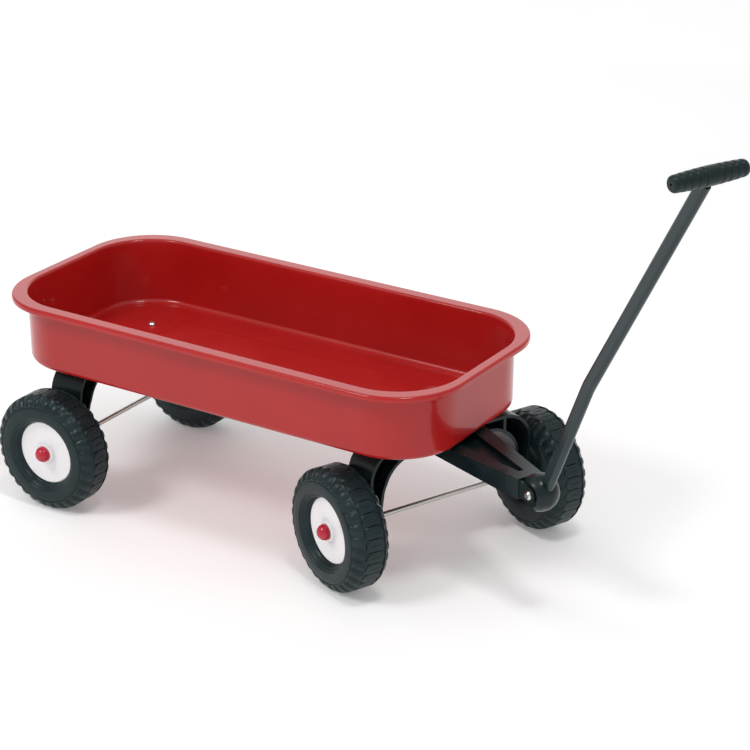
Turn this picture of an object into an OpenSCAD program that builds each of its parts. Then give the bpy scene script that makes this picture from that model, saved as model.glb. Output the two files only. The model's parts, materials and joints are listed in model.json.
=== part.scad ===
// Child's pull wagon: pressed-steel tray on four hollow plastic wheels, with a steered front
// axle and a raised pull handle. +X is forward, +Y is the wagon's left, +Z is up.
// Heights are worked out above the ground, and placed() then moves the whole wagon so that
// the origin is the middle of the tray floor's raised panel.

/* [Tray] */
// Length of the tray over its rolled rim
tray_length = 600; // [580:5:620]
// Width of the tray over its rolled rim
tray_width = 289; // [280:1:300]
// Corner radius of the rim, seen from above
rim_corner_r = 82; // [78:1:88]
// Height of the rim's top above the ground
rim_height = 246; // [235:1:260]
// Height of the floor's underside above the ground
floor_height = 163; // [162:0.5:165]
// Distance from the wall's foot out to the rim's edge, along the sides
side_flare = 18; // [17:0.5:20]
// Distance from the wall's foot out to the rim's edge, in front and behind
end_flare = 14; // [13:0.5:18]
// Corner radius of the wall's foot, seen from above
tub_corner_r = 74; // [68:1:76]
// How far the wall leans out between foot and rim
wall_lean = 1.2; // [1:0.1:3]
// Depth of the lip turned down round the rim
lip_drop = 6; // [5:0.5:8]
// Radius of the bend between wall and floor, outside
foot_r = 7; // [5:0.5:10]
// Thickness of the pressed sheet
sheet = 1.2; // [1:0.1:1.5]
// Length of the floor's raised panel
panel_length = 414; // [408:1:420]
// Width of the floor's raised panel
panel_width = 160; // [150:1:160]
// Height that the panel is pressed up by
panel_rise = 2; // [1.5:0.1:2.5]
// Radius of the low land round each floor screw
land_r = 29; // [26:0.5:31]

/* [Running gear] */
// Rear axle's distance behind the tray's middle
rear_axle_x = 211.5; // [209:0.5:214]
// Front axle's distance ahead of the tray's middle
front_axle_x = 236.5; // [234:0.5:240]
// Steering angle that the wagon is shown at, turned to its right
steer_angle = 22.8; // [0:0.1:40]
// Diameter of the axle rods
axle_d = 6; // [5:0.5:6]
// Diameter of the kingpin bolt
kingpin_d = 8; // [6:1:8]

/* [Wheels] */
// Outer diameter of a wheel
wheel_d = 141; // [138:1:142]
// Width of a wheel
wheel_width = 48; // [46:1:48]
// Distance from the wagon's middle to a wheel's inner face
wheel_inner_y = 112; // [112:0.5:116]
// Diameter of the white hub disc
disc_d = 76; // [72:1:78]
// Wall thickness of the hollow wheel
wheel_wall = 3; // [2.5:0.1:3.5]
// Diameter of the domed hub cap
cap_d = 18.6; // [17:0.1:20]

/* [Axle arches] */
// Distance from the middle to a leg's outer face
leg_outer = 110; // [109:0.5:110.5]
// Distance from the middle to a leg's inner face
leg_inner = 90; // [88:0.5:92]
// Thickness of the arch under the tray
arch_thick = 15; // [14:0.5:17]
// Depth of the arch along the wagon, at its top
arch_depth = 44; // [40:1:46]
// Wall thickness of the moulding
rib = 3.5; // [3:0.1:4]

/* [Tongue] */
// Distance from the kingpin to the handle's pivot
tongue_reach = 178; // [170:1:186]
// Height of the handle's pivot above the ground
pivot_height = 148; // [147:0.5:149]
// Half the tongue's width where it meets the knuckle
tongue_tip = 16; // [15.5:0.1:17]
// Widening of each side for each millimetre towards the kingpin
tongue_taper = 0.165; // [0.15:0.005:0.18]
// Diameter of the handle's pivot screw
pivot_d = 6; // [5:0.5:6]

/* [Handle] */
// Diameter of the knuckle's ball
knuckle_d = 42; // [40:0.5:43]
// Width of the flat-oval tube
tube_width = 16; // [15:0.5:17]
// Thickness of the flat-oval tube
tube_thick = 9; // [8:0.5:10]
// Wall of the flat-oval tube
tube_wall = 1.2; // [1:0.1:1.5]
// Angle of the tube's lower part above the horizontal
tube_angle = 65.8; // [60:0.1:72]
// Angle by which the tube bends forward
tube_bend = 6.5; // [3:0.1:10]
// Length from the pivot to the bend
lower_length = 163.4; // [150:0.2:175]
// Length from the bend to the grip's middle
upper_length = 311; // [290:1:330]
// Distance of the tube's middle line ahead of the pivot
tube_offset = 6.1; // [5.8:0.1:6.4]
// Length of the cross grip
grip_length = 91; // [88:1:110]
// Diameter of the cross grip in the middle
grip_d = 19.8; // [19:0.1:21]
// Diameter that the cross grip narrows to at its ends
grip_end_d = 16.6; // [15.5:0.1:18]
// Number of ring grooves at each end of the grip
grip_rings = 4; // [2:1:4]

/* [Hidden] */
$fn = 96;
running = 0.05;        // radial clearance of a turning fit
slack = 0.3;           // gap between faces that turn past each other
cut = 1;               // how far a cutting shape runs past the face that it opens
wheel_r = wheel_d / 2;
axle_r = axle_d / 2;
axle_z = wheel_r;
panel_top = floor_height + sheet + panel_rise;
floor_top = floor_height + sheet;

// Centres of the tub's and the rim's corners, seen from above
tub_x = tray_length / 2 - end_flare - tub_corner_r;
tub_y = tray_width / 2 - side_flare - tub_corner_r;
rim_x = tray_length / 2 - rim_corner_r;
rim_y = tray_width / 2 - rim_corner_r;
bend_r = 2.6;          // bend from wall to rim, to the sheet's middle
lip_r = 2.4;           // bend from rim to lip, to the sheet's middle
bend_steps = 4;
lap = 2;               // overlap of the wall and the lip with the flat sheet
screw_x = 207;
screw_y = 51.5;

// Floor screws
screw_r = 2.5;
screw_head_r = 4.8;
screw_head_h = 3.4;
rear_screw_length = 16;

// Turntable, from the tray's underside down
plate_thick = 1.5;
plate_front = 262;
plate_rear = 190;
plate_half = 66;
plate_corner_r = 14;
wear_r = 24;
wear_thick = 1.2;
yoke_top = floor_height - plate_thick - wear_thick - slack;
king_r = kingpin_d / 2;
king_head_r = 9.5;
king_head_h = 4.5;
king_tail = 32;        // length of the kingpin below the floor's top
washer_thick = 1.5;
nut_thick = 6.5;

// Axle arches
arch_out_r = 38;       // outer shoulder
arch_in_r = 40;        // inner shoulder
leg_depth = 26;        // depth along the wagon at the axle
leg_taper_z = 42;      // height below the top at which the leg starts to narrow
boss_r = 13;
web = 4;
axle_land = 14;        // solid moulding above the axle
arch_ribs = [36, 72];
screw_boss_r = 6.5;

// Tongue
tongue_back = arch_depth / 2;
tongue_end = tongue_reach - knuckle_d / 2;
tongue_tip_depth = 24;
tongue_root_depth = 13;
tongue_shell = 3.5;
pocket_depth = 6;
pocket_floor = 2.5;
pocket_from = 26;
pocket_to = 142;
pocket_tip = 3.5;      // half width of the pocket's front end
pocket_taper = 0.13;
tongue_block = 138;    // the tongue is solid from here to its tip
ear_in = 11.5;
ear_out = 14.7;
ear_r = 8.5;
ear_root = 11;

// Knuckle
ball_r = knuckle_d / 2;
flat_y = ear_in - slack;
recess_r = 14.2;
open_from = 100;       // the recess is open from this angle to the next, so that the ear can pass
open_to = 302;
tube_start = 9;        // the tube's foot, above the pivot along the tube
bend_radius = 100;
oval_steps = 16;       // steps round each half of the flat oval
pivot_r = pivot_d / 2;
pivot_head_r = 5;
pivot_head_h = 3.8;
pivot_nut_h = 5;

// Grip
core_r = 3.5;
stub_length = 18;
neck_r = 3;
grip_r = grip_d / 2;
grip_half = grip_length / 2;
grip_round = 4;        // rounding of the grip's ends
grip_steps = 6;        // steps from the grip's middle to each end
groove_depth = 0.9;
groove_half = 1.2;     // half the width of a ring groove at the surface
groove_pitch = 9;
groove_start = 10;     // from the grip's middle to the first groove

// Wheel, along its axle from the inner face
hub_r = 8.5;
web_z = 10;            // depth of the recess on the inner side
disc_z = wheel_width - 14;
disc_rim = 3.3;
disc_boss = 8;
disc_r = disc_d / 2;
bead_r = disc_r + 0.5;
cap_z = disc_z + disc_boss + slack;
cap_r = cap_d / 2;
axle_half = wheel_inner_y + cap_z + 6;

// ---- Helpers ----

// Points on an arc about [x, y], from one angle to another
function arc(x, y, r, from, to, steps) =
    [for (i = [0 : steps]) let (a = from + (to - from) * i / steps) [x + r * cos(a), y + r * sin(a)]];

// The way that an open line runs at point i, as a unit vector
function heading(line, i) =
    let (a = line[max(i - 1, 0)], b = line[min(i + 1, len(line) - 1)], d = b - a) d / norm(d);

// An open line given a thickness, as one closed outline
function ribbon(line, thick) = concat(
    [for (i = [0 : len(line) - 1]) let (h = heading(line, i)) line[i] + [-h[1], h[0]] * thick / 2],
    [for (i = [len(line) - 1 : -1 : 0]) let (h = heading(line, i)) line[i] - [-h[1], h[0]] * thick / 2]);

// Rectangle with round corners
module round_rect(length, width, r) {
    square([length, width - 2 * r], center = true);
    square([length - 2 * r, width], center = true);
    for (x = [-1, 1], y = [-1, 1])
        translate([x * (length / 2 - r), y * (width / 2 - r)]) circle(r);
}

// Doorway shape: straight sides, flat top, round shoulders; it runs down to the ground
module doorway(half, top, r) {
    translate([-half, 0]) square([2 * half, top - r]);
    translate([-(half - r), 0]) square([2 * (half - r), top]);
    for (side = [-1, 1]) translate([side * (half - r), top - r]) circle(r);
}

// Flat oval, wide along X
module oval(width, thick) {
    square([width - thick, thick], center = true);
    for (side = [-1, 1]) translate([side * (width - thick) / 2, 0]) circle(thick / 2);
}

// Flat ring on the XY plane
module ring(inner, outer, thick) {
    difference() {
        cylinder(r = outer, h = thick);
        translate([0, 0, -cut]) cylinder(r = inner, h = thick + 2 * cut);
    }
}

// Pan-head screw standing on its shank's top, with a cross recess in the head
module pan_screw(r, length, head_r, head_h) {
    crown = head_h * 0.55;
    difference() {
        union() {
            translate([0, 0, -length]) cylinder(r = r, h = length);
            cylinder(r = head_r, h = head_h - crown);
            translate([0, 0, head_h - crown]) cylinder(r1 = head_r, r2 = head_r * 0.62, h = crown);
        }
        for (a = [0, 90]) rotate(a) translate([0, 0, head_h])
            cube([head_r * 0.95, head_r * 0.24, head_h], center = true);
    }
}

// From ground heights to the wagon's own frame
module placed() translate([0, 0, -panel_top]) children();

// Turns what stands at the kingpin with the steering
module steered() translate([front_axle_x, 0, 0]) rotate(-steer_angle) children();

// At the handle's pivot, in the steered frame: X forward, Z up, Y along the pivot screw
module at_pivot() steered() translate([tongue_reach, 0, pivot_height]) children();

// At a wheel's inner face, with Z out along the axle; side is 1 on the left and -1 on the right
module wheel_seat(side)
    translate([0, side * wheel_inner_y, axle_z]) rotate([-90 * side, 0, 0]) children();
module rear_wheel(side) translate([-rear_axle_x, 0, 0]) wheel_seat(side) children();
module front_wheel(side) steered() wheel_seat(side) children();

// ---- Tray ----

// Middle of the rim's flat sheet
band_z = rim_height - sheet / 2;
// Distance from the wall's foot out to where the rim is flat
band_from = wall_lean - sheet / 2 + bend_r;
// Distance from the rim's edge in to where the lip turns down
lip_from = lip_r + sheet / 2;

// The sheet's middle line from the floor up the wall and onto the rim, with X measured
// outward from the wall's foot
function wall_line() = concat(
    [[-foot_r - lap, floor_height + sheet / 2]],
    arc(-foot_r, floor_height + foot_r, foot_r - sheet / 2, -90, 0, bend_steps),
    arc(band_from, band_z - bend_r, bend_r, 180, 90, bend_steps),
    [[band_from + lap, band_z]]);

// The same line from the rim down the lip, with X measured outward from the rim's edge
function lip_line() = concat(
    [[-lip_from - lap, band_z]],
    arc(-lip_from, band_z - lip_r, lip_r, 90, 0, bend_steps),
    [[-sheet / 2, rim_height - lip_drop]]);

// A section swept round a rectangle with round corners, whose centres are at x and y
module swept_round(x, y) {
    for (turn = [0, 180]) rotate(turn) {
        translate([x, y, 0]) rotate([90, 0, 0]) linear_extrude(2 * y) children();
        translate([x, y, 0]) rotate_extrude(angle = 90) children();
        rotate(90) translate([y, x, 0]) rotate([90, 0, 0]) linear_extrude(2 * x) children();
        translate([-x, y, 0]) rotate(90) rotate_extrude(angle = 90) children();
    }
}

// Flat sheet of the rim, between the wall's bend and the lip
module rim_band() {
    inner_r = tub_corner_r + band_from;
    outer_r = rim_corner_r - lip_from;
    translate([0, 0, rim_height - sheet]) linear_extrude(sheet) difference() {
        round_rect(2 * (rim_x + outer_r), 2 * (rim_y + outer_r), outer_r);
        round_rect(2 * (tub_x + inner_r), 2 * (tub_y + inner_r), inner_r);
    }
}

// Outline of the raised panel, with the low lands of the screws taken out of its corners
module panel_shape(inset) {
    difference() {
        square([panel_length - 2 * inset, panel_width - 2 * inset], center = true);
        for (x = [-screw_x, screw_x], y = [-screw_y, screw_y])
            translate([x, y]) circle(land_r + inset);
    }
}

module floor_sheet() {
    difference() {
        union() {
            translate([0, 0, floor_height]) linear_extrude(sheet)
                round_rect(2 * (tub_x + tub_corner_r - foot_r), 2 * (tub_y + tub_corner_r - foot_r),
                    tub_corner_r - foot_r);
            translate([0, 0, floor_height]) linear_extrude(sheet + panel_rise) panel_shape(0);
        }
        translate([0, 0, floor_height - cut]) linear_extrude(panel_rise + cut) panel_shape(sheet);
        for (x = [-screw_x, screw_x], y = [-screw_y, screw_y])
            translate([x, y, floor_height - cut]) cylinder(r = screw_r + 0.2, h = sheet + 2 * cut);
        translate([front_axle_x, 0, floor_height - cut])
            cylinder(r = king_r + 0.2, h = sheet + 2 * cut);
    }
}

module tray() color("firebrick") {
    floor_sheet();
    swept_round(tub_x, tub_y) translate([tub_corner_r, 0]) polygon(ribbon(wall_line(), sheet));
    rim_band();
    swept_round(rim_x, rim_y) translate([rim_corner_r, 0]) polygon(ribbon(lip_line(), sheet));
}

// ---- Axle arches ----

// Side view of an arch, narrowing to the boss round the axle; back moves its rear edge forward
module arch_side(top, back) {
    half = arch_depth / 2;
    low = leg_depth / 2;
    polygon([[back - half, top], [back - half, top - leg_taper_z], [back - low, axle_z],
        [low, axle_z], [half, top - leg_taper_z], [half, top]]);
    if (back == 0) translate([0, axle_z]) circle(boss_r);
}

// Puts a front view (X across, Y up) into the YZ plane, through the whole depth
module across_wagon(depth)
    rotate([90, 0, 90]) translate([0, 0, -depth / 2]) linear_extrude(depth) children();

// Puts a side view (X along, Y up) into the XZ plane, through the whole width
module along_wagon(width)
    rotate([90, 0, 0]) translate([0, 0, -width / 2]) linear_extrude(width) children();

// An arch with a leg to each side, hollowed from the front, with its axle at [0, 0, axle_z]
module axle_arch(top) {
    crown = top - arch_thick;
    difference() {
        intersection() {
            across_wagon(arch_depth) difference() {
                doorway(leg_outer, top, arch_out_r);
                doorway(leg_inner, crown, arch_in_r);
            }
            along_wagon(3 * leg_outer) arch_side(top, 0);
        }
        difference() {
            intersection() {
                across_wagon(2 * arch_depth) difference() {
                    doorway(leg_outer - rib, top - rib, arch_out_r - rib);
                    doorway(leg_inner + rib, crown + rib, arch_in_r + rib);
                    translate([-2 * leg_outer, 0]) square([4 * leg_outer, axle_z + axle_land]);
                    for (side = [-1, 1], y = arch_ribs)
                        translate([side * y - rib / 2, axle_z]) square([rib, top]);
                }
                along_wagon(3 * leg_outer) translate([cut, 0]) arch_side(top, web - cut);
            }
            children();
        }
        rotate([90, 0, 0]) translate([0, axle_z, -2 * leg_outer])
            cylinder(r = axle_r + running, h = 4 * leg_outer);
    }
}

module rear_bracket() color("darkslategray") translate([-rear_axle_x, 0, 0]) difference() {
    axle_arch(floor_height)
        for (side = [-1, 1]) translate([rear_axle_x - screw_x, side * screw_y, axle_z])
            cylinder(r = screw_boss_r, h = floor_height);
    for (side = [-1, 1])
        translate([rear_axle_x - screw_x, side * screw_y, floor_top - rear_screw_length - cut])
            cylinder(r = screw_r, h = floor_height);
}

module axle() color("silver") rotate([90, 0, 0]) translate([0, 0, -axle_half])
    cylinder(r = axle_r, h = 2 * axle_half);

module axle_washers() color("silver")
    for (side = [-1, 1]) wheel_seat(side) translate([0, 0, leg_outer - wheel_inner_y])
        ring(axle_r + 0.2, hub_r - 0.5, washer_thick);

module rear_axle() translate([-rear_axle_x, 0, axle_z]) axle();
module rear_axle_washers() translate([-rear_axle_x, 0, 0]) axle_washers();
module front_axle() steered() translate([0, 0, axle_z]) axle();
module front_axle_washers() steered() axle_washers();

module rear_bracket_screws() color("gainsboro") for (side = [-1, 1])
    translate([-screw_x, side * screw_y, floor_top]) rotate(18)
        pan_screw(screw_r, rear_screw_length, screw_head_r, screw_head_h);

// ---- Turntable and kingpin ----

module turntable_plate() color("dimgray")
    translate([0, 0, floor_height - plate_thick]) difference() {
        translate([(plate_front + plate_rear) / 2, 0]) linear_extrude(plate_thick)
            round_rect(plate_front - plate_rear, 2 * plate_half, plate_corner_r);
        for (side = [-1, 1]) translate([screw_x, side * screw_y, -cut])
            cylinder(r = screw_r, h = plate_thick + 2 * cut);
        translate([front_axle_x, 0, -cut]) cylinder(r = king_r, h = plate_thick + 2 * cut);
    }

module turntable_screws() color("gainsboro") for (side = [-1, 1])
    translate([screw_x, side * screw_y, floor_top]) rotate(18)
        pan_screw(screw_r, sheet + plate_thick, screw_head_r, screw_head_h);

module turntable_washer() color("ivory")
    translate([front_axle_x, 0, floor_height - plate_thick - wear_thick])
        ring(king_r + 0.1, wear_r, wear_thick);

module kingpin_bolt() color("silver") translate([front_axle_x, 0, floor_top]) {
    translate([0, 0, -king_tail]) cylinder(r = king_r, h = king_tail);
    intersection() {
        translate([0, 0, king_head_h - 1.4 * king_head_r]) sphere(r = 1.4 * king_head_r);
        cylinder(r = king_head_r, h = king_head_h);
    }
}

module kingpin_washer() color("silver")
    translate([front_axle_x, 0, yoke_top - arch_thick - slack - washer_thick])
        ring(king_r + 0.1, 2.1 * king_r, washer_thick);

module kingpin_nut() color("silver")
    translate([front_axle_x, 0, yoke_top - arch_thick - slack - washer_thick - nut_thick])
        difference() {
            cylinder(r = 1.85 * king_r, h = nut_thick, $fn = 6);
            translate([0, 0, -cut]) cylinder(r = king_r, h = nut_thick + 2 * cut);
        }

// ---- Steering yoke ----

function tongue_half(x) = tongue_tip + (tongue_end - x) * tongue_taper;

// The tongue seen from above, between two distances ahead of the kingpin
module tongue_plan(from, to, inset)
    polygon([[from, tongue_half(from) - inset], [to, tongue_half(to) - inset],
        [to, inset - tongue_half(to)], [from, inset - tongue_half(from)]]);

// The triangular pocket in the tongue's top, seen from above
module pocket_plan(grow) {
    wide = pocket_tip + (pocket_to - pocket_from) * pocket_taper + grow;
    polygon([[pocket_from - grow, wide], [pocket_to, pocket_tip + grow],
        [pocket_to, -pocket_tip - grow], [pocket_from - grow, -wide]]);
    translate([pocket_to, 0]) circle(pocket_tip + grow);
}

module tongue_body() {
    tip_low = yoke_top - tongue_tip_depth;
    root_low = yoke_top - tongue_root_depth;
    difference() {
        intersection() {
            linear_extrude(yoke_top) tongue_plan(0, tongue_end + 3, 0);
            along_wagon(3 * leg_outer) polygon([[0, yoke_top], [tongue_end + 3, yoke_top],
                [tongue_end + 3, tip_low], [tongue_end - 10, tip_low], [tongue_back, root_low],
                [0, root_low]]);
        }
        linear_extrude(yoke_top - pocket_depth - pocket_floor)
            tongue_plan(tongue_back + rib, tongue_block, tongue_shell);
        linear_extrude(yoke_top - tongue_shell) difference() {
            tongue_plan(tongue_back + rib, tongue_block, tongue_shell);
            pocket_plan(tongue_shell);
        }
        translate([0, 0, yoke_top - pocket_depth]) linear_extrude(pocket_depth + cut)
            pocket_plan(0);
        translate([tongue_reach, 0, pivot_height]) sphere(r = ball_r + 2 * slack);
    }
}

// The two ears that hold the pivot screw, with the knuckle between them
module tongue_ears() {
    for (side = [-1, 1]) translate([0, side * (ear_in + ear_out) / 2, pivot_height])
        along_wagon(ear_out - ear_in) {
            polygon([[tongue_end - 6, ear_root], [tongue_reach, ear_r], [tongue_reach, -ear_r],
                [tongue_end - 6, -ear_root]]);
            translate([tongue_reach, 0]) circle(ear_r);
        }
}

module steering_yoke() color("darkslategray") steered() difference() {
    union() {
        axle_arch(yoke_top) {
            linear_extrude(yoke_top) tongue_plan(-arch_depth, tongue_back, 0);
        }
        tongue_body();
        tongue_ears();
    }
    translate([0, 0, axle_z + axle_land]) cylinder(r = king_r + running, h = yoke_top);
    translate([tongue_reach, 0, pivot_height]) rotate([90, 0, 0]) translate([0, 0, -leg_outer])
        cylinder(r = pivot_r + running, h = 2 * leg_outer);
}

// Lies along Y at the pivot: head on the wagon's right
module pivot_screw() color("gainsboro") at_pivot() translate([0, -ear_out, 0])
    rotate([90, 0, 0]) rotate(30)
        pan_screw(pivot_r, 2 * ear_out + pivot_nut_h + 1, pivot_head_r, pivot_head_h);

module pivot_nut() color("silver") at_pivot() translate([0, ear_out, 0]) rotate([-90, 0, 0])
    difference() {
        cylinder(r = 1.9 * pivot_r, h = pivot_nut_h, $fn = 6);
        translate([0, 0, -cut]) cylinder(r = pivot_r, h = pivot_nut_h + 2 * cut);
    }

// ---- Handle ----

// Z up the tube's lower part, X forward across it; the pivot is the origin
module tube_frame() rotate([0, 90 - tube_angle, 0]) translate([tube_offset, 0, 0]) children();

bend_reach = bend_radius * tan(tube_bend / 2);
lower_end = lower_length - bend_reach;
upper_run = upper_length - bend_reach;

// At the bend's far end, with Z up the tube's upper part
module upper_frame() tube_frame()
    translate([bend_radius * (1 - cos(tube_bend)), 0, lower_end + bend_radius * sin(tube_bend)])
        rotate([0, tube_bend, 0]) children();

// At the grip's middle, with Z along the grip
module grip_frame() at_pivot() upper_frame() translate([0, 0, upper_run]) rotate([90, 0, 0])
    children();

// The tube's outline across its length, smaller all round by inset
function tube_outline(inset) = let (x = (tube_width - tube_thick) / 2, r = tube_thick / 2 - inset)
    concat(arc(x, 0, r, -90, 90, oval_steps), arc(-x, 0, r, 90, 270, oval_steps));

// Places along the tube in its frame, as [x, z, lean]: the foot, round the bend, and the top
function tube_places() = let (top = upper_run - grip_r) concat([[0, tube_start, 0]],
    [for (i = [0 : bend_steps]) let (a = tube_bend * i / bend_steps)
        [bend_radius * (1 - cos(a)), lower_end + bend_radius * sin(a), a]],
    [[bend_radius * (1 - cos(tube_bend)) + top * sin(tube_bend),
        lower_end + bend_radius * sin(tube_bend) + top * cos(tube_bend), tube_bend]]);

// The outline swept along the places, with its hollow
module handle_tube() color("black") at_pivot() tube_frame() {
    places = tube_places();
    count = len(tube_outline(0));
    last = len(places) - 1;
    // Number of a point: its place, 0 outside or 1 inside, and its turn round the outline
    number = function (place, layer, i) (2 * place + layer) * count + i % count;
    polyhedron([for (p = places, inset = [0, tube_wall], q = tube_outline(inset))
            [p[0] + q[0] * cos(p[2]), q[1], p[1] - q[0] * sin(p[2])]],
        concat(
            [for (n = [0 : last - 1], i = [0 : count - 1])
                [number(n, 0, i), number(n + 1, 0, i), number(n + 1, 0, i + 1), number(n, 0, i + 1)]],
            [for (n = [0 : last - 1], i = [0 : count - 1])
                [number(n, 1, i), number(n, 1, i + 1), number(n + 1, 1, i + 1), number(n + 1, 1, i)]],
            [for (i = [0 : count - 1])
                [number(0, 0, i), number(0, 0, i + 1), number(0, 1, i + 1), number(0, 1, i)]],
            [for (i = [0 : count - 1])
                [number(last, 1, i), number(last, 1, i + 1), number(last, 0, i + 1),
                    number(last, 0, i)]]));
}

// Side of the knuckle that the ear lies against: a round recess, open towards the tongue
module ear_space() {
    linear_extrude(ball_r) {
        circle(recess_r);
        polygon(concat([[0, 0]],
            arc(0, 0, 2 * ball_r, open_from, open_to, 8)));
    }
}

module handle_knuckle() color("darkslategray") at_pivot() difference() {
    sphere(r = ball_r);
    translate([0, -flat_y, 0]) rotate([90, 0, 0]) ear_space();
    mirror([0, 1, 0]) translate([0, -flat_y, 0]) rotate([90, 0, 0]) ear_space();
    rotate([90, 0, 0]) translate([0, 0, -ball_r])
        cylinder(r = pivot_r + running, h = 2 * ball_r);
    tube_frame() translate([0, 0, tube_start]) linear_extrude(2 * ball_r)
        oval(tube_width, tube_thick);
}

core_half = grip_half - 6;

module grip_core() color("silver") {
    grip_frame() translate([0, 0, -core_half]) cylinder(r = core_r, h = 2 * core_half);
    at_pivot() upper_frame() {
        translate([0, 0, upper_run - grip_r - stub_length]) linear_extrude(stub_length)
            oval(tube_width - 2 * tube_wall - running, tube_thick - 2 * tube_wall - running);
        translate([0, 0, upper_run - grip_r]) cylinder(r = neck_r, h = grip_r);
    }
}

// Radius of the grip's barrel at a distance from its middle
function barrel(y) = grip_r - (grip_d - grip_end_d) / 2 * pow(y / grip_half, 2);

// Half of the grip's outline, from the middle to the end
function half_grip() = let (run = grip_half - grip_round) concat(
    [for (i = [1 : grip_steps]) let (y = run * i / grip_steps) [barrel(y), y]],
    arc(barrel(run) - grip_round, run, grip_round, 15, 90, 5), [[0, grip_half]]);

module grip_section() difference() {
    half = half_grip();
    polygon(concat([for (i = [len(half) - 1 : -1 : 0]) [half[i][0], -half[i][1]]],
        [[grip_r, 0]], half));
    for (end = [-1, 1], i = [0 : grip_rings - 1]) {
        y = end * (groove_start + i * groove_pitch);
        translate([barrel(y), y]) polygon([[cut, groove_half + cut / 2],
            [-groove_depth, groove_half / 2], [-groove_depth, -groove_half / 2],
            [cut, -groove_half - cut / 2]]);
    }
}

module grip() color("black") difference() {
    grip_frame() rotate_extrude() grip_section();
    grip_frame() translate([0, 0, -core_half]) cylinder(r = core_r, h = 2 * core_half);
    at_pivot() upper_frame() translate([0, 0, upper_run - 2 * grip_r])
        cylinder(r = neck_r, h = 2 * grip_r);
}

// ---- Wheels ----

// Half of the wheel's outer skin as [radius, distance from the face], from bead to tread
function skin(r, w) = [[bead_r, 3], [bead_r + 5.5, 0], [r - 12.5, 0.8], [r - 6.5, 2.5],
    [r - 1.5, 7], [r, 12], [r, w / 2 - 10], [r - 1.2, w / 2 - 9.4], [r - 1.2, w / 2 - 8.4],
    [r, w / 2 - 7.8]];

// Half of the hollow inside
function hollow(r, t) = [[hub_r + t, web_z + t], [bead_r + t, web_z + t], [bead_r + t, 3 + t * 0.6],
    [bead_r + 5.5, t], [r - 13, t + 0.8], [r - 7.5, t + 2.6], [r - t - 1.5, t + 6], [r - t, t + 10]];

// The other half of a wheel's section, running back from tread to bead
function far_half(half) = [for (i = [len(half) - 1 : -1 : 0]) [half[i][0], wheel_width - half[i][1]]];

module tyre() color("darkslategray") {
    bore = axle_r + running;
    section = concat([[bore, 0.5], [hub_r, 0.5], [hub_r, web_z], [bead_r, web_z]],
        skin(wheel_r, wheel_width), far_half(skin(wheel_r, wheel_width)),
        [[bead_r, disc_z], [bore, disc_z]]);
    inside = hollow(wheel_r, wheel_wall);
    deep = disc_z - wheel_wall;
    rotate_extrude() difference() {
        polygon(section);
        polygon(concat(inside, [for (p = far_half(inside)) [p[0], p[0] < bead_r + wheel_wall + 0.1
            && p[1] < wheel_width - web_z ? deep : p[1]]]));
    }
}

module hub_disc() color("white") rotate_extrude() translate([0, disc_z])
    polygon([[axle_r + running, 0], [disc_r, 0], [disc_r, disc_rim], [disc_r - 1.6, disc_rim + 0.5],
        [disc_r - 3, disc_rim], [disc_r - 9, 2.4], [20, 2], [15, 2.6], [12.6, 4],
        [11, disc_boss], [axle_r + running, disc_boss]]);

// Domed cap pressed on the axle's end
module cap() color("crimson") translate([0, 0, cap_z]) difference() {
    union() {
        cylinder(r = cap_r, h = 1);
        translate([0, 0, 1]) intersection() {
            sphere(r = cap_r);
            cylinder(r = 2 * cap_r, h = 2 * cap_r);
        }
    }
    translate([0, 0, -cut]) cylinder(r = axle_r, h = 6 + cut);
}

module tyre_rear_left() rear_wheel(1) tyre();
module tyre_rear_right() rear_wheel(-1) tyre();
module tyre_front_left() front_wheel(1) tyre();
module tyre_front_right() front_wheel(-1) tyre();
module hub_disc_rear_left() rear_wheel(1) hub_disc();
module hub_disc_rear_right() rear_wheel(-1) hub_disc();
module hub_disc_front_left() front_wheel(1) hub_disc();
module hub_disc_front_right() front_wheel(-1) hub_disc();
module cap_rear_left() rear_wheel(1) cap();
module cap_rear_right() rear_wheel(-1) cap();
module cap_front_left() front_wheel(1) cap();
module cap_front_right() front_wheel(-1) cap();

placed() tray();
placed() rear_bracket();
placed() rear_bracket_screws();
placed() rear_axle();
placed() rear_axle_washers();
placed() cap_rear_left();
placed() cap_rear_right();
placed() turntable_plate();
placed() turntable_screws();
placed() turntable_washer();
placed() kingpin_bolt();
placed() kingpin_washer();
placed() kingpin_nut();
placed() steering_yoke();
placed() front_axle();
placed() front_axle_washers();
placed() cap_front_left();
placed() cap_front_right();
placed() pivot_screw();
placed() pivot_nut();
placed() handle_knuckle();
placed() handle_tube();
placed() grip_core();
placed() grip();
placed() tyre_rear_left();
placed() tyre_rear_right();
placed() tyre_front_left();
placed() tyre_front_right();
placed() hub_disc_rear_left();
placed() hub_disc_rear_right();
placed() hub_disc_front_left();
placed() hub_disc_front_right();
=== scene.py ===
import json
import math

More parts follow.
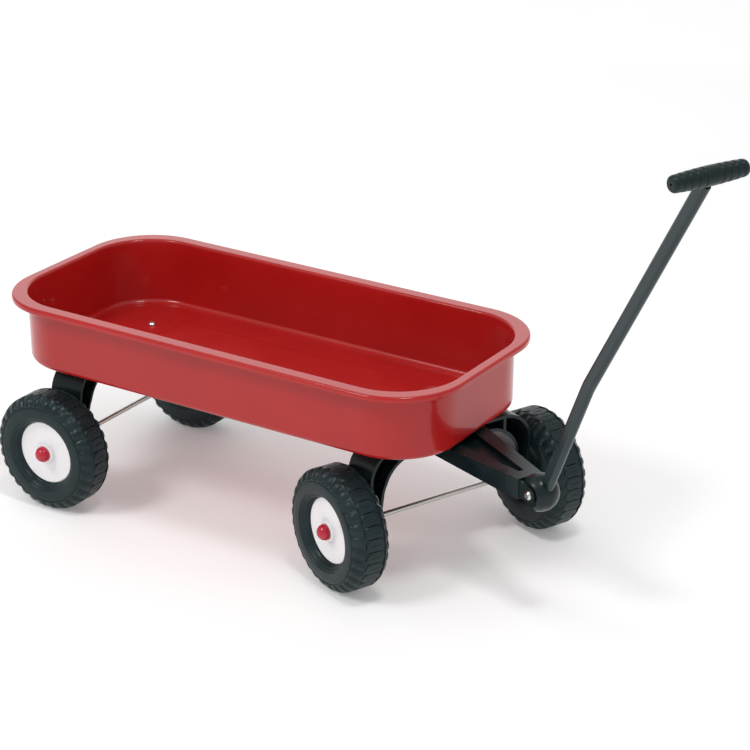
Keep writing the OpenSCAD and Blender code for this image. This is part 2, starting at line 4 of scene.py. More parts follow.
import bmesh
import bpy
import numpy as np
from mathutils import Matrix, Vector


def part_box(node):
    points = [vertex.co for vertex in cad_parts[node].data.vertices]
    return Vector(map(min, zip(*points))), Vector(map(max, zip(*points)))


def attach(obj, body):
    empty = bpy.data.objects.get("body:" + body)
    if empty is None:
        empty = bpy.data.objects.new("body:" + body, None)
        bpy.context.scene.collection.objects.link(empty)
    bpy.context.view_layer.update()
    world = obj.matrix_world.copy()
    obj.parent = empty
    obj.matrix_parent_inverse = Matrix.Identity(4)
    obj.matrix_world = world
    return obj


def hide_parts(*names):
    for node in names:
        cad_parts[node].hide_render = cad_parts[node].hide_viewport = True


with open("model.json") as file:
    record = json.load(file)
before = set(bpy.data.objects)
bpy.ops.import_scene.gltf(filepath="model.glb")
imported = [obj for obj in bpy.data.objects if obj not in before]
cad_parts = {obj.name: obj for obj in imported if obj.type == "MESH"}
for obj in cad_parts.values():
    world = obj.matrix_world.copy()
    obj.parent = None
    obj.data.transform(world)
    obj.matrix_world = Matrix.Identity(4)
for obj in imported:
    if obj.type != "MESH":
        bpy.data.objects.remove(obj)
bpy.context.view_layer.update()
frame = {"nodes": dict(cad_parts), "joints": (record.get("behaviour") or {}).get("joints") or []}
scene = bpy.context.scene


# ---- Camera, floor and lamps ----
# The wagon stands on a plain white studio floor, in a white tent of light. One soft box stands
# high in front on its right, a small one hangs over its front end, and a wide one is behind it.

MM = 0.001
azimuth = math.radians(32.82)
elevation = math.radians(23.3)
camera_distance = 2.7591
aim = Vector((0.11459, 0.0516, 0.00132))
back = Vector((math.sin(azimuth) * math.cos(elevation),
               -math.cos(azimuth) * math.cos(elevation), math.sin(elevation)))

lens = bpy.data.cameras.new("camera")
lens.lens = 115.2
lens.sensor_width = 36
lens.shift_x = 0.001
lens.shift_y = 0.005
lens.clip_end = 60
camera = bpy.data.objects.new("camera", lens)
camera.location = aim + back * camera_distance
camera.rotation_euler = back.to_track_quat("Z", "Y").to_euler()
scene.collection.objects.link(camera)
scene.camera = camera
scene.view_settings.view_transform = "Standard"


def soft_box(name, place, towards, width, height, watts):
    """A rectangular lamp that faces a point."""
    lamp = bpy.data.lights.new(name, "AREA")
    lamp.shape = "RECTANGLE"
    lamp.size = width
    lamp.size_y = height
    lamp.energy = watts
    obj = bpy.data.objects.new(name, lamp)
    obj.location = place
    obj.rotation_euler = (Vector(place) - Vector(towards)).to_track_quat("Z", "Y").to_euler()
    scene.collection.objects.link(obj)


soft_box("lamp_front", (-1.0, -1.9, 2.3), (0.05, 0, 0), 0.9, 0.7, 27)
soft_box("lamp_top", (0.9, -0.5, 2.6), (0.1, 0, 0), 0.5, 0.5, 17)
soft_box("lamp_back", (-1.6, 2.4, 1.3), (0, 0, 0), 3.6, 1.6, 13)

tent = bpy.data.worlds.new("tent")
tent.use_nodes = True
tent_light = tent.node_tree.nodes["Background"].inputs
tent_light["Color"].default_value = (1, 1, 1, 1)
tent_light["Strength"].default_value = 0.60
scene.world = tent


def new_material(name):
    """A node material, and its Principled shader."""
    material = bpy.data.materials.new(name)
    material.use_nodes = True
    return material, material.node_tree.nodes["Principled BSDF"]


def add_node(tree, kind, settings=None, **inputs):
    """A node with its inputs set to values or joined to sockets, by input name."""
    node = tree.nodes.new(kind)
    for key, value in (settings or {}).items():
        setattr(node, key, value)
    for key, value in inputs.items():
        socket = node.inputs[int(key[1:])] if key[0] == "i" and key[1:].isdigit() else \
            node.inputs[key.replace("_", " ")]
        if isinstance(value, bpy.types.NodeSocket):
            tree.links.new(value, socket)
        else:
            socket.default_value = value
    return node


def effect(name, inputs, outputs):
    """An empty shader node group with number inputs and named outputs."""
    group = bpy.data.node_groups.new(name, "ShaderNodeTree")
    for label, value in inputs.items():
        socket = group.interface.new_socket(name=label, in_out="INPUT",
                                            socket_type="NodeSocketFloat")
        socket.default_value = value
    for label in outputs:
        group.interface.new_socket(name=label, in_out="OUTPUT", socket_type="NodeSocketFloat")
    entry = group.nodes.new("NodeGroupInput")
    exit_ = group.nodes.new("NodeGroupOutput")
    return group, entry.outputs, exit_.inputs


def place_effect(tree, group, **inputs):
    """The effect in a material, with that material's own values."""
    node = tree.nodes.new("ShaderNodeGroup")
    node.node_tree = group
    for key, value in inputs.items():
        node.inputs[key.replace("_", " ")].default_value = value
    return node.outputs


# Skin: the small waves and the cloudy patches of a moulded or painted surface
skin, skin_in, skin_out = effect(
    "skin", {"Wave mm": 3.0, "Fine mm": 0.6, "Fine share": 0.3, "Patch mm": 60.0},
    ["Height", "Patches"])
skin_place = add_node(skin, "ShaderNodeTexCoord").outputs["Object"]


def skin_noise(size_socket, detail):
    """Noise whose grain has the size that a socket gives in millimetres."""
    per_metre = add_node(skin, "ShaderNodeMath", {"operation": "DIVIDE"}, i0=1000.0,
                         i1=size_socket)
    return add_node(skin, "ShaderNodeTexNoise", None, Vector=skin_place,
                    Scale=per_metre.outputs[0], Detail=detail, Roughness=0.5).outputs["Fac"]


fine_waves = add_node(skin, "ShaderNodeMath", {"operation": "MULTIPLY"},
                      i0=skin_noise(skin_in["Fine mm"], 1.0), i1=skin_in["Fine share"])
all_waves = add_node(skin, "ShaderNodeMath", {"operation": "ADD"},
                     i0=skin_noise(skin_in["Wave mm"], 0.0), i1=fine_waves.outputs[0])
skin.links.new(all_waves.outputs[0], skin_out["Height"])
clouds = add_node(skin, "ShaderNodeMapRange", {"interpolation_type": "SMOOTHSTEP"},
                  Value=skin_noise(skin_in["Patch mm"], 2.0), From_Min=0.3, From_Max=0.7)
skin.links.new(clouds.outputs["Result"], skin_out["Patches"])


def two_tones(tree, mask, first, second):
    """A colour that moves between two tones with a mask."""
    mix = add_node(tree, "ShaderNodeMix", {"data_type": "RGBA"})
    tree.links.new(mask, mix.inputs["Factor"])
    colours = [s for s in mix.inputs if s.type == "RGBA"]
    colours[0].default_value = (*first, 1)
    colours[1].default_value = (*second, 1)
    return [s for s in mix.outputs if s.type == "RGBA"][0]


def span(tree, mask, low, high):
    """A number that moves between two values with a mask."""
    return add_node(tree, "ShaderNodeMapRange", None, Value=mask, To_Min=low,
                    To_Max=high).outputs["Result"]


def finish(name, tones, rough, height_mm, skin_values, metal=0.0, coat=0.0, coat_rough=0.03,
           specular=0.5):
    """A finish with two close tones, a little change of gloss, and the skin's small waves."""
    material, shader = new_material(name)
    tree = material.node_tree
    outs = place_effect(tree, skin, **skin_values)
    tree.links.new(two_tones(tree, outs["Patches"], *tones), shader.inputs["Base Color"])
    tree.links.new(span(tree, outs["Patches"], *rough), shader.inputs["Roughness"])
    bump = add_node(tree, "ShaderNodeBump", None, Height=outs["Height"], Strength=1.0,
                    Distance=height_mm * MM)
    tree.links.new(bump.outputs["Normal"], shader.inputs["Normal"])
    shader.inputs["Metallic"].default_value = metal
    shader.inputs["Coat Weight"].default_value = coat
    shader.inputs["Coat Roughness"].default_value = coat_rough
    shader.inputs["Specular IOR Level"].default_value = specular
    if coat:
        tree.links.new(bump.outputs["Normal"], shader.inputs["Coat Normal"])
    return material


floor_half = 9.0
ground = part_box("tyre_rear_left")[0].z
floor_mesh = bpy.data.meshes.new("studio_floor")
floor_mesh.from_pydata([(x * floor_half, y * floor_half, ground)
                        for x, y in ((-1, -1), (1, -1), (1, 1), (-1, 1))], [], [(0, 1, 2, 3)])
floor_paint = finish(
    "studio_floor", ((0.93, 0.93, 0.93), (0.95, 0.95, 0.95)), (0.75, 0.85), 0.02,
    {"Wave_mm": 8.0, "Fine_mm": 2.0, "Patch_mm": 400.0}, specular=0.2)
# The floor is translucent and lit a little from below
floor_glow = 0.16
floor_shader = floor_paint.node_tree.nodes["Principled BSDF"]
floor_shader.inputs["Emission Strength"].default_value = floor_glow
floor_mesh.materials.append(floor_paint)
studio_floor = bpy.data.objects.new("studio_floor", floor_mesh)
scene.collection.objects.link(studio_floor)


# ---- Tray ----
# One deep-drawn tub of sheet steel with a flat rim, its lip turned down. The floor's middle
# is pressed up, with round low lands left for the four screws. Baked red enamel covers it all.

tray_low, tray_high = (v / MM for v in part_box("tray"))
rim_top = tray_high.z
floor_low = tray_low.z
sheet = 1.2
half_sheet = sheet / 2
floor_top = floor_low + sheet
# The tub's foot stands in from the rim's edge by the flares, with corners of its own
rim_corner_r = 82
side_flare = 18
end_flare = 14
tub_corner_r = 74
foot_r = 7
wall_lean = 1.2
lip_drop = 6
rim_bend = 2.6
lip_bend = 2.4
rim_x = tray_high.x - rim_corner_r
rim_y = tray_high.y - rim_corner_r
tub_x = tray_high.x - end_flare - tub_corner_r
tub_y = tray_high.y - side_flare - tub_corner_r
floor_edge_r = tub_corner_r - foot_r
# The raised panel, the round lands in its corners, and the width of its sloping edge
panel_half_x = 207
panel_half_y = 80
land_x = 207
land_y = 51.5
land_r = 29
ramp = 4.2


def arc(x, z, radius, start, stop, steps):
    """Points on an arc, with the angles in degrees."""
    angles = np.radians(np.linspace(start, stop, steps + 1))
    return [(x + radius * math.cos(a), z + radius * math.sin(a)) for a in angles]


def steps_between(stops):
    """Numbers that run through (value, step) stops, each step holding up to its value."""
    numbers = [0.0]
    for value, step in stops:
        count = max(1, round((value - numbers[-1]) / step))
        numbers += list(np.linspace(numbers[-1], value, count + 1)[1:])
    return numbers


def smooth_step(t):
    """From 0 to 1 with a soft start and end."""
    t = np.clip(t, 0, 1)
    return t * t * (3 - 2 * t)


def panel_rise(x, y):
    """How far the floor is pressed up at a place."""
    to_edge = np.minimum(panel_half_x - np.abs(x), panel_half_y - np.abs(y))
    to_land = np.hypot(np.abs(x) - land_x, np.abs(y) - land_y) - land_r
    inside = -np.hypot(*(np.maximum(0, ramp - d) for d in (to_edge, to_land))) + ramp
    return -floor_top * smooth_step(inside / ramp)


straight = steps_between([(172, 6), (tub_x, 2)])
corner_turns = np.radians(np.linspace(0, 90, 19)[1:])
half_columns = [(x, 0.0) for x in straight] + [(tub_x, a) for a in corner_turns]
columns = [(-x, -a) for x, a in reversed(half_columns[1:])] + half_columns
edge_y = tub_y + floor_edge_r
half_rows = [y / edge_y for y in steps_between([(20, 5), (86, 2), (edge_y, 5)])]
rows = [-v for v in reversed(half_rows[1:])] + half_rows


def around_tray():
    """Places round the tray: shares of the straight sides' half lengths, and the way out."""
    sides = []
    for v in (1, -1):
        sides.append([((x / tub_x, v), (math.sin(a), v * math.cos(a))) for x, a in columns])
    ends = []
    for x in (1, -1):
        ends.append([((x, v), (x, 0)) for v in rows[1:-1]])
    return sides[0] + ends[0][::-1] + sides[1][::-1] + ends[1]


def wall_outline():
    """Out from the floor's edge inside, over the rim and lip, and back in along the outside.
    The first points count outward from the tub's foot, the lip's inward from the rim's edge."""
    bend_x = wall_lean - half_sheet + rim_bend
    bend_z = rim_top - half_sheet - rim_bend
    lip_x = -half_sheet - lip_bend
    lip_z = rim_top - half_sheet - lip_bend
    lip_low = rim_top - lip_drop
    foot_z = floor_low + foot_r
    up_wall = (0.03, 0.25, 0.5, 0.75, 0.97)
    flat = 0.8
    lean = wall_lean - half_sheet
    inner = arc(-foot_r, foot_z, foot_r - sheet, -90, 0, 10)
    inner += [(-sheet + lean * t, foot_z + (bend_z - foot_z) * t) for t in up_wall]
    inner += arc(bend_x, bend_z, rim_bend + half_sheet, 180, 90, 8) + [(bend_x + flat, rim_top)]
    over = [(lip_x - flat, rim_top)] + arc(lip_x, lip_z, lip_bend + half_sheet, 90, 0, 8)
    over += arc(-half_sheet, lip_low, half_sheet, 0, -180, 6)
    over += arc(lip_x, lip_z, lip_bend - half_sheet, 0, 90, 6)
    over += [(lip_x - flat, rim_top - sheet)]
    outer = [(bend_x + flat, rim_top - sheet)]
    outer += arc(bend_x, bend_z, rim_bend - half_sheet, 90, 180, 6)
    outer += [(lean * t, foot_z + (bend_z - foot_z) * t) for t in reversed(up_wall)]
    outer += arc(-foot_r, foot_z, foot_r, 0, -90, 10)
    tub = (tub_x, tub_y, tub_corner_r)
    rim = (rim_x, rim_y, rim_corner_r)
    return ([(tub, p) for p in inner] + [(rim, p) for p in over] + [(tub, p) for p in outer])


def add_piece(name, points, faces, material, body, replaces=(), sharp=35):
    """A closed mesh from points in millimetres, as a piece of the wagon."""
    mesh = bpy.data.meshes.new(name)
    mesh.from_pydata([tuple(p) for p in np.asarray(points) * MM], [], faces)
    work = bmesh.new()
    work.from_mesh(mesh)
    bmesh.ops.recalc_face_normals(work, faces=work.faces)
    work.to_mesh(mesh)
    work.free()
    mesh.shade_smooth()
    mesh.set_sharp_from_angle(angle=math.radians(sharp))
    mesh.materials.append(material)
    piece = bpy.data.objects.new(name, mesh)
    scene.collection.objects.link(piece)
    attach(piece, body)
    if replaces:
        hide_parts(*replaces)
    return piece


def tray_mesh():
    """The floor as a grid with a top and an underside, and the wall as rings round it."""
    column_x = np.array([x + math.sin(a) * floor_edge_r for x, a in columns])
    column_y = np.array([tub_y + math.cos(a) * floor_edge_r for x, a in columns])
    x = np.repeat(column_x[:, None], len(rows), 1)
    y = column_y[:, None] * np.array(rows)[None, :]
    rise = panel_rise(x, y)
    top = np.stack([x, y, floor_top + rise], -1).reshape(-1, 3)
    under = np.stack([x, y, floor_low + rise], -1).reshape(-1, 3)
    points = [top, under]
    nc, nr = len(columns), len(rows)
    cells = [(i * nr + j, (i + 1) * nr + j, (i + 1) * nr + j + 1, i * nr + j + 1)
             for i in range(nc - 1) for j in range(nr - 1)]
    faces = list(cells) + [tuple(k + nc * nr for k in reversed(c)) for c in cells]
    edge = [i * nr + nr - 1 for i in range(nc)]
    edge += [(nc - 1) * nr + j for j in range(nr - 2, 0, -1)]
    edge += [i * nr for i in range(nc - 1, -1, -1)] + list(range(1, nr - 1))
    shares = np.array([s for s, _ in around_tray()], float)
    ways = np.array([w for _, w in around_tray()], float)
    rings = [np.array(edge)]
    total = 2 * nc * nr
    for (centre_x, centre_y, radius), (out, z) in wall_outline()[1:-1]:
        ring = shares * (centre_x, centre_y) + (radius + out) * ways
        points.append(np.column_stack([ring, np.full(len(ring), z)]))
        rings.append(np.arange(total, total + len(ring)))
        total += len(ring)
    rings.append(np.array(edge) + nc * nr)
    for a, b in zip(rings[:-1], rings[1:]):
        faces += [(a[k - 1], a[k], b[k], b[k - 1]) for k in range(len(a))]
    return np.concatenate(points), faces


red_enamel = finish(
    "red_enamel", ((0.41, 0.0095, 0.0090), (0.45, 0.0115, 0.0110)), (0.20, 0.26), 0.012,
    {"Wave_mm": 4.0, "Fine_mm": 1.1, "Fine_share": 0.25, "Patch_mm": 90.0}, coat=0.4,
    coat_rough=0.035, specular=0.25)
tray_points, tray_faces = tray_mesh()
add_piece("tray_pressing", tray_points, tray_faces, red_enamel, "chassis",
          ["tray"], sharp=50)


# ---- Axle arches, turntable and screws ----
# Rear bracket and front yoke are black mouldings, hollow between ribs, with softly broken
# edges. Zinc-plated screws hold the bracket, and the yoke turns on a bolt under a steel plate.

black_moulding = finish(
    "black_moulding", ((0.006, 0.013, 0.015), (0.009, 0.018, 0.020)), (0.22, 0.32), 0.006,
    {"Wave_mm": 2.4, "Fine_mm": 0.5, "Fine_share": 0.5, "Patch_mm": 35.0}, specular=0.27)
zinc_plate = finish(
    "zinc_plate", ((0.56, 0.55, 0.52), (0.68, 0.66, 0.62)), (0.22, 0.38), 0.003,
    {"Wave_mm": 1.2, "Fine_mm": 0.3, "Fine_share": 0.6, "Patch_mm": 4.0}, metal=1.0)
grey_plate = finish(
    "grey_plate", ((0.20, 0.20, 0.20), (0.27, 0.27, 0.26)), (0.35, 0.5), 0.004,
    {"Wave_mm": 2.0, "Fine_mm": 0.4, "Fine_share": 0.5, "Patch_mm": 18.0}, metal=1.0)
white_nylon = finish(
    "white_nylon", ((0.72, 0.71, 0.67), (0.78, 0.77, 0.73)), (0.4, 0.5), 0.004,
    {"Wave_mm": 2.0, "Fine_mm": 0.5, "Fine_share": 0.4, "Patch_mm": 15.0})


def dress(node, material, edge_mm=0.3, edge_steps=2):
    """A machined or moulded node as it is, with its sharp edges broken, in its finish."""
    obj = frame["nodes"][node]
    obj.data.shade_smooth()
    weld = obj.modifiers.new("weld", "WELD")
    weld.merge_threshold = 0.01 * MM
    bevel = obj.modifiers.new("edges", "BEVEL")
    bevel.width = edge_mm * MM
    bevel.segments = edge_steps
    bevel.limit_method = "ANGLE"
    bevel.angle_limit = math.radians(30)
    bevel.miter_outer = "MITER_ARC"
    bevel.harden_normals = False
    normals = obj.modifiers.new("normals", "WEIGHTED_NORMAL")
    normals.mode = "FACE_AREA_WITH_ANGLE"
    normals.keep_sharp = False
    obj.data.materials.clear()
    obj.data.materials.append(material)


dress("rear_bracket", black_moulding, 0.6, 3)
dress("steering_yoke", black_moulding, 0.6, 3)
dress("rear_bracket_screws", zinc_plate, 0.25)
dress("turntable_screws", zinc_plate, 0.25)
dress("turntable_plate", grey_plate, 0.3)
dress("turntable_washer", white_nylon, 0.2)
dress("kingpin_bolt", zinc_plate, 0.3)
dress("kingpin_washer", zinc_plate, 0.2)
dress("kingpin_nut", zinc_plate, 0.3)
dress("pivot_screw", zinc_plate, 0.25)
dress("pivot_nut", zinc_plate, 0.3)


# ---- Axles ----
# Two bright drawn steel rods run right through the legs and wheels, with plain washers
# between. The drawing die leaves fine streaks along them.

streaks, streaks_in, streaks_out = effect(
    "streaks", {"Turn degrees": 0.0, "Across mm": 0.25, "Along mm": 30.0}, ["Streaks"])
streak_angle = add_node(streaks, "ShaderNodeMath", {"operation": "RADIANS"},
                        i0=streaks_in["Turn degrees"])
streak_place = add_node(streaks, "ShaderNodeVectorRotate", {"rotation_type": "Z_AXIS"},
                        Vector=add_node(streaks, "ShaderNodeTexCoord").outputs["Object"],
                        Angle=streak_angle.outputs[0])
streak_parts = add_node(streaks, "ShaderNodeSeparateXYZ", None, i0=streak_place.outputs[0])
streak_scaled = add_node(streaks, "ShaderNodeCombineXYZ")
for axis, width in (("X", "Across mm"), ("Y", "Along mm"), ("Z", "Across mm")):
    scale = add_node(streaks, "ShaderNodeMath", {"operation": "DIVIDE"}, i0=1000.0,
                     i1=streaks_in[width])
    part = add_node(streaks, "ShaderNodeMath", {"operation": "MULTIPLY"},
                    i0=streak_parts.outputs[axis], i1=scale.outputs[0])
    streaks.links.new(part.outputs[0], streak_scaled.inputs[axis])
streak_noise = add_node(streaks, "ShaderNodeTexNoise", None,
                        Vector=streak_scaled.outputs[0], Scale=1.0, Detail=2.0)
streaks.links.new(streak_noise.outputs["Fac"], streaks_out["Streaks"])


def drawn_steel(name, turn):
    """Bright steel with streaks along Y, turned about Z."""
    material, shader = new_material(name)
    tree = material.node_tree
    lines = place_effect(tree, streaks, Turn_degrees=turn)["Streaks"]
    tree.links.new(two_tones(tree, lines, (0.42, 0.40, 0.37), (0.72, 0.70, 0.66)),
                   shader.inputs["Base Color"])
    tree.links.new(span(tree, lines, 0.2, 0.36), shader.inputs["Roughness"])
    bump = add_node(tree, "ShaderNodeBump", None, Height=lines, Strength=1.0,
                    Distance=0.002 * MM)
    tree.links.new(bump.outputs["Normal"], shader.inputs["Normal"])
    shader.inputs["Metallic"].default_value = 1.0
    return material


joint = {j["name"]: j for j in frame["joints"]}
front_axle_way = Vector(joint["spin_front_left"]["axis"])
steer_turn = math.degrees(math.atan2(front_axle_way.x, front_axle_way.y))
rear_steel = drawn_steel("rear_axle_steel", 0.0)
front_steel = drawn_steel("front_axle_steel", steer_turn)
dress("rear_axle", rear_steel, 0.4)
dress("rear_axle_washers", rear_steel, 0.2)
dress("front_axle", front_steel, 0.4)
dress("front_axle_washers", front_steel, 0.2)


# ---- Wheels ----
# Each wheel is one hollow blow moulding in black plastic, tread and hub together. The tread
# has a row of rounded blocks between two grooves, and notched lugs over both shoulders.

wheel_width = 48
tread_r = 70.5
pitches = 30
pitch = 2 * math.pi * tread_r / pitches
# Half lengths of a tread block round the wheel and across it; grooves end at block_edge
block_half_u = pitch / 2 - 0.65
block_half_v = 11.3
block_edge = 11.8
sipe_half = 0.75
sipe_reach = 7.5
# Shoulder notches start past the side groove, and above the ring on the face
notch_from_v = 12.9
notch_from_r = 59.6
notch_lean = 65
shoulder_depth = 9
block_depth = 1.5
sipe_depth = 0.6
notch_depth = 2.1
# Places across one pitch of the tread, closest together at the notch and at the gap
pitch_marks = [0, 0.6, 1.3, 1.8, 2.4, 3.3, 4.6, 5.6, 6.3, 6.75]
pitch_places = [-m for m in reversed(pitch_marks[1:])] + pitch_marks + [pitch / 2]
fine_turns = np.array([(k * pitch + p) / tread_r for k in range(pitches) for p in pitch_places])
coarse_turns = fine_turns[2::5]

# Outer face from the bead out, as (radius, depth below the face)
face_outline = [(38.5, 13.0), (38.5, 8.6), (38.8, 8.0), (39.4, 7.6), (40.2, 5.4), (40.6, 4.6),
                (41.2, 4.2), (42.2, 4.0), (42.8, 2.7), (43.2, 2.1), (43.8, 1.9), (44.8, 1.7),
                (45.2, 0.7), (45.6, 0.25), (46.4, 0.05), (47.5, 0.0), (52.0, 0.12)]
face_edge = [(57.2, 0.35), (57.7, 0.6), (58.0, 1.4), (58.7, 1.45), (59.0, 0.9), (59.5, 0.75),
             (60.5, 1.0), (61.7, 1.5), (63.0, 2.1), (64.5, 3.0), (66.0, 4.1), (67.3, 5.3),
             (68.4, 6.6), (69.2, 7.8), (69.8, 9.0), (70.3, 10.3)]
tread_half = [(tread_r, 10.9), (tread_r - 0.1, 11.0), (tread_r - 1.5, 11.3),
              (tread_r - 1.5, 12.0), (tread_r - 0.1, 12.3), (tread_r, 12.75), (tread_r, 13.3),
              (tread_r, 14.2), (tread_r, 15.4), (tread_r, 17.0), (tread_r, 19.0),
              (tread_r, 21.2), (tread_r, 23.0)]


def tread_cut(turn, r, v):
    """How deep the tread is cut at a turn, radius and distance from the mid-plane."""
    u = (turn * tread_r / pitch + 0.5) % 1 * pitch - pitch / 2
    v = np.abs(v)
    end = np.maximum(v - (block_half_v - block_half_u), 0)
    past_block = np.hypot(u, end) - block_half_u
    gap = block_depth * smooth_step(past_block / 0.55) * (v < block_edge)
    sipe = sipe_depth * smooth_step((sipe_half - np.abs(u)) / 0.5)
    sipe = sipe * smooth_step((sipe_reach - v) / 1.5)
    scallop = np.cos(math.pi * u / pitch) ** 4
    along = smooth_step((v - notch_from_v) / 3) * smooth_step((r - notch_from_r) / 1.8)
    return gap + sipe * (v < block_edge) + notch_depth * scallop * along


def wheel_ring(turns, r, z, cut_tread=False):
    """One ring of the wheel, about Z."""
    radius = np.full(len(turns), float(r))
    height = np.full(len(turns), float(z))
    if cut_tread:
        mid = wheel_width / 2
        depth = tread_cut(turns, r, z - mid)
        lean = smooth_step((tread_r - r) / shoulder_depth) * math.radians(notch_lean)
        radius -= depth * math.cos(lean)
        height -= np.sign(z - mid) * depth * math.sin(lean)
    return np.column_stack([radius * np.cos(turns), radius * np.sin(turns), height])


def wheel_rings():
    """The whole section, once round, back to its start."""
    w = wheel_width
    fine = [(r, w - d) for r, d in face_edge + tread_half] + [(tread_r, w / 2)]
    fine += [(r, d) for r, d in reversed(face_edge + tread_half)]
    inner = [(52.0, 0.12), (47.5, 0.0), (45.5, 0.1), (43.5, 0.7), (40.5, 2.4), (39.1, 3.4),
             (38.6, 4.4), (38.5, 9.2), (37.7, 10.0), (24.0, 10.0), (10.0, 10.0), (9.0, 9.6),
             (8.5, 8.8), (8.5, 1.0), (8.0, 0.5), (3.05, 0.5), (3.05, 34.0), (20.0, 34.0),
             (38.5, 34.0)]
    rings = [wheel_ring(coarse_turns, r, w - d) for r, d in face_outline]
    rings += [wheel_ring(fine_turns, r, z, True) for r, z in fine]
    rings += [wheel_ring(coarse_turns, r, z) for r, z in inner]
    return rings


def skin_rings(rings, closed=True):
    """Points and faces that join rings in turn; a finer ring has whole times the points."""
    starts = np.cumsum([0] + [len(r) for r in rings])
    faces = []
    pairs = list(zip(range(len(rings) - 1), range(1, len(rings))))
    if closed:
        pairs.append((len(rings) - 1, 0))
    for a, b in pairs:
        na, nb = len(rings[a]), len(rings[b])
        if na == nb:
            faces += [(starts[a] + k, starts[a] + (k + 1) % na, starts[b] + (k + 1) % na,
                       starts[b] + k) for k in range(na)]
            continue
        if na > nb:
            a, b, na, nb = b, a, nb, na
        times = nb // na
        half = times // 2
        for k in range(na):
            this, after = starts[a] + k, starts[a] + (k + 1) % na
            first = k * times
            spokes = [starts[b] + (first + i - half + 2) % nb for i in range(times + 1)]
            for i in range(times):
                faces.append((this if i < times - half else after, spokes[i], spokes[i + 1]))
            faces.append((this, spokes[times - half], after))
    return np.concatenate(rings), faces


wheel_black = finish(
    "wheel_black", ((0.008, 0.019, 0.022), (0.012, 0.026, 0.029)), (0.28, 0.38), 0.010,
    {"Wave_mm": 3.5, "Fine_mm": 0.7, "Fine_share": 0.35, "Patch_mm": 30.0}, specular=0.24)
wheel_points, wheel_faces = skin_rings(wheel_rings())


def lathe(outline, turns=96):
    """Rings about Z through a closed outline of (radius, height)."""
    angles = np.linspace(0, 2 * math.pi, turns, endpoint=False)
    return skin_rings([wheel_ring(angles, r, z) for r, z in outline])


def seated(points, place, way):
    """Points made about Z, turned to stand about another axis at a place."""
    turn = Vector(way).to_track_quat("Z", "X").to_matrix()
    return points @ np.array(turn).T + np.array(place)


# The hub disc is a dished white moulding snapped into the wheel, and a red domed cap is
# pressed on the axle's end in front of it.
disc_seat = 34
disc_outline = [(3.1, disc_seat), (38.0, disc_seat), (38.1, disc_seat + 0.4),
                (38.1, disc_seat + 2.9), (37.8, disc_seat + 3.4), (37.2, disc_seat + 3.75),
                (36.4, disc_seat + 3.85), (35.7, disc_seat + 3.7), (35.0, disc_seat + 3.2),
                (33.8, disc_seat + 2.85), (31.0, disc_seat + 2.5), (27.0, disc_seat + 2.2),
                (23.0, disc_seat + 2.05), (19.0, disc_seat + 2.1), (16.5, disc_seat + 2.4),
                (14.6, disc_seat + 3.0), (13.3, disc_seat + 3.9), (12.5, disc_seat + 5.0),
                (12.0, disc_seat + 6.6), (11.6, disc_seat + 7.5), (11.0, disc_seat + 7.95),
                (10.2, disc_seat + 8.0), (3.1, disc_seat + 8.0)]
cap_seat = 42.3
cap_r = 9.3
cap_outline = [(3.0, cap_seat), (cap_r - 0.4, cap_seat), (cap_r, cap_seat + 0.4)]
cap_outline += [(cap_r * math.cos(a), cap_seat + 1 + cap_r * math.sin(a))
                for a in np.radians(np.linspace(0, 88, 18))]
cap_outline += [(0.3, cap_seat + 7.0), (3.0, cap_seat + 6.0)]
white_moulding = finish(
    "white_moulding", ((0.91, 0.89, 0.91), (0.94, 0.92, 0.94)), (0.16, 0.22), 0.006,
    {"Wave_mm": 5.0, "Fine_mm": 0.8, "Fine_share": 0.2, "Patch_mm": 25.0})
red_cap = finish(
    "red_cap", ((0.46, 0.010, 0.030), (0.52, 0.014, 0.038)), (0.14, 0.20), 0.004,
    {"Wave_mm": 2.0, "Fine_mm": 0.5, "Fine_share": 0.2, "Patch_mm": 8.0})
disc_points, disc_faces = lathe(disc_outline, 120)
cap_points, cap_faces = lathe(cap_outline, 64)

for end in ("rear", "front"):
    for side, sign in (("left", 1), ("right", -1)):
        spin = joint[f"spin_{end}_{side}"]
        out = Vector(spin["axis"]) * sign
        seat = Vector(spin["pos_m"]) / MM - out * wheel_width / 2
        wheel_body = f"wheel_{end}_{side}"
        add_piece(f"wheel_{end}_{side}_moulding", seated(wheel_points, seat, out), wheel_faces,
                  wheel_black, wheel_body, [f"tyre_{end}_{side}"], sharp=60)
        add_piece(f"disc_{end}_{side}", seated(disc_points, seat, out), disc_faces,
                  white_moulding, wheel_body, [f"hub_disc_{end}_{side}"])
        carrier = "chassis" if end == "rear" else "steering"
        add_piece(f"dome_{end}_{side}", seated(cap_points, seat, out), cap_faces, red_cap,
                  carrier, [f"cap_{end}_{side}"])


# ---- Handle ----
# A flat-oval steel tube with dark powder paint stands in a ball-shaped knuckle, and a ringed
# black plastic cross grip is pushed over a steel tee at its top.

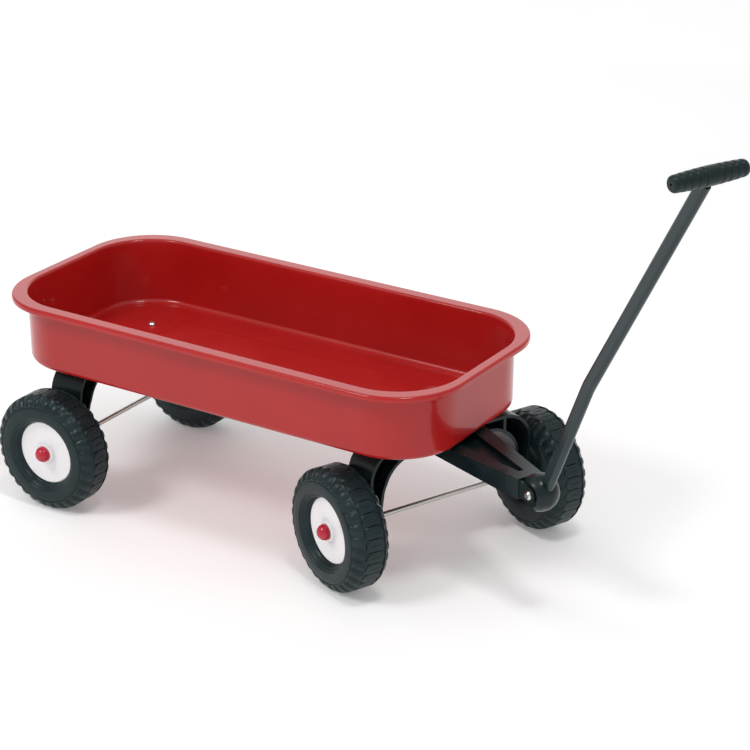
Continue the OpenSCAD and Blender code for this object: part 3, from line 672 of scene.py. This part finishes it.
tube_paint = finish(
    "tube_paint", ((0.011, 0.024, 0.028), (0.015, 0.031, 0.035)), (0.24, 0.32), 0.010,
    {"Wave_mm": 1.6, "Fine_mm": 0.5, "Fine_share": 0.5, "Patch_mm": 40.0}, coat=0.2,
    coat_rough=0.12, specular=0.35)
grip_black = finish(
    "grip_black", ((0.006, 0.016, 0.017), (0.009, 0.022, 0.023)), (0.28, 0.38), 0.006,
    {"Wave_mm": 1.8, "Fine_mm": 0.4, "Fine_share": 0.5, "Patch_mm": 18.0}, specular=0.25)
dress("handle_tube", tube_paint, 0.3)
dress("handle_knuckle", black_moulding, 0.5, 3)
dress("grip_core", zinc_plate, 0.2)

# The tube's lean at the knuckle, its bend, and its lengths on both sides of the bend
tube_angle = 65.8
tube_bend = 6.5
tube_offset = 6.1
lower_length = 163.4
upper_length = 311
swing = joint["handle_swing"]
pivot = Vector(swing["pos_m"]) / MM
across = -Vector(swing["axis"])
ahead = Vector((across.y, -across.x, 0))


def on_handle(forward, up):
    """A point of the handle from its distances ahead of the pivot and above it."""
    return pivot + ahead * forward + Vector((0, 0, up))


def along_tube(angle):
    """The way along a length of tube that stands at an angle in degrees."""
    return np.array([math.cos(math.radians(angle)), math.sin(math.radians(angle))])


lower_way = along_tube(tube_angle)
upper_way = along_tube(tube_angle - tube_bend)
lower_side = np.array([lower_way[1], -lower_way[0]])
bend_centre_line = lower_side * tube_offset + lower_way * lower_length
grip_place = on_handle(*(bend_centre_line + upper_way * upper_length))

# The grip is a barrel with ring grooves near both ends
grip_half = 45.5
grip_core_r = 1.4
grip_mid_r = 9.9
grip_end_r = 8.3
grip_round = 4
ring_depth = 0.9
ring_half = 1.3
ring_starts = 10
ring_pitch = 9
rings_each_end = 4


def barrel(y):
    """Radius of the grip at a distance from its middle, with its ring grooves."""
    r = grip_mid_r - (grip_mid_r - grip_end_r) * (y / grip_half) ** 2
    for k in range(rings_each_end):
        off = abs(abs(y) - ring_starts - k * ring_pitch)
        r -= ring_depth * float(smooth_step((ring_half + 0.5 - off) / 1.1))
    return r


run = grip_half - grip_round
grip_outline = [(barrel(y), y) for y in np.linspace(-run, run, 180)]
end_r = barrel(run) - grip_round
end_arc = [(end_r + grip_round * math.cos(a), run + grip_round * math.sin(a))
           for a in np.radians(np.linspace(12, 90, 8))]
grip_outline += end_arc + [(grip_core_r, grip_half)]
grip_outline = [(grip_core_r, -grip_half)] + [(r, -y) for r, y in reversed(end_arc)] + grip_outline
grip_points, grip_faces = lathe(grip_outline, 72)
add_piece("grip_moulding", seated(grip_points, grip_place, across), grip_faces, grip_black,
          "handle", ["grip"], sharp=50)
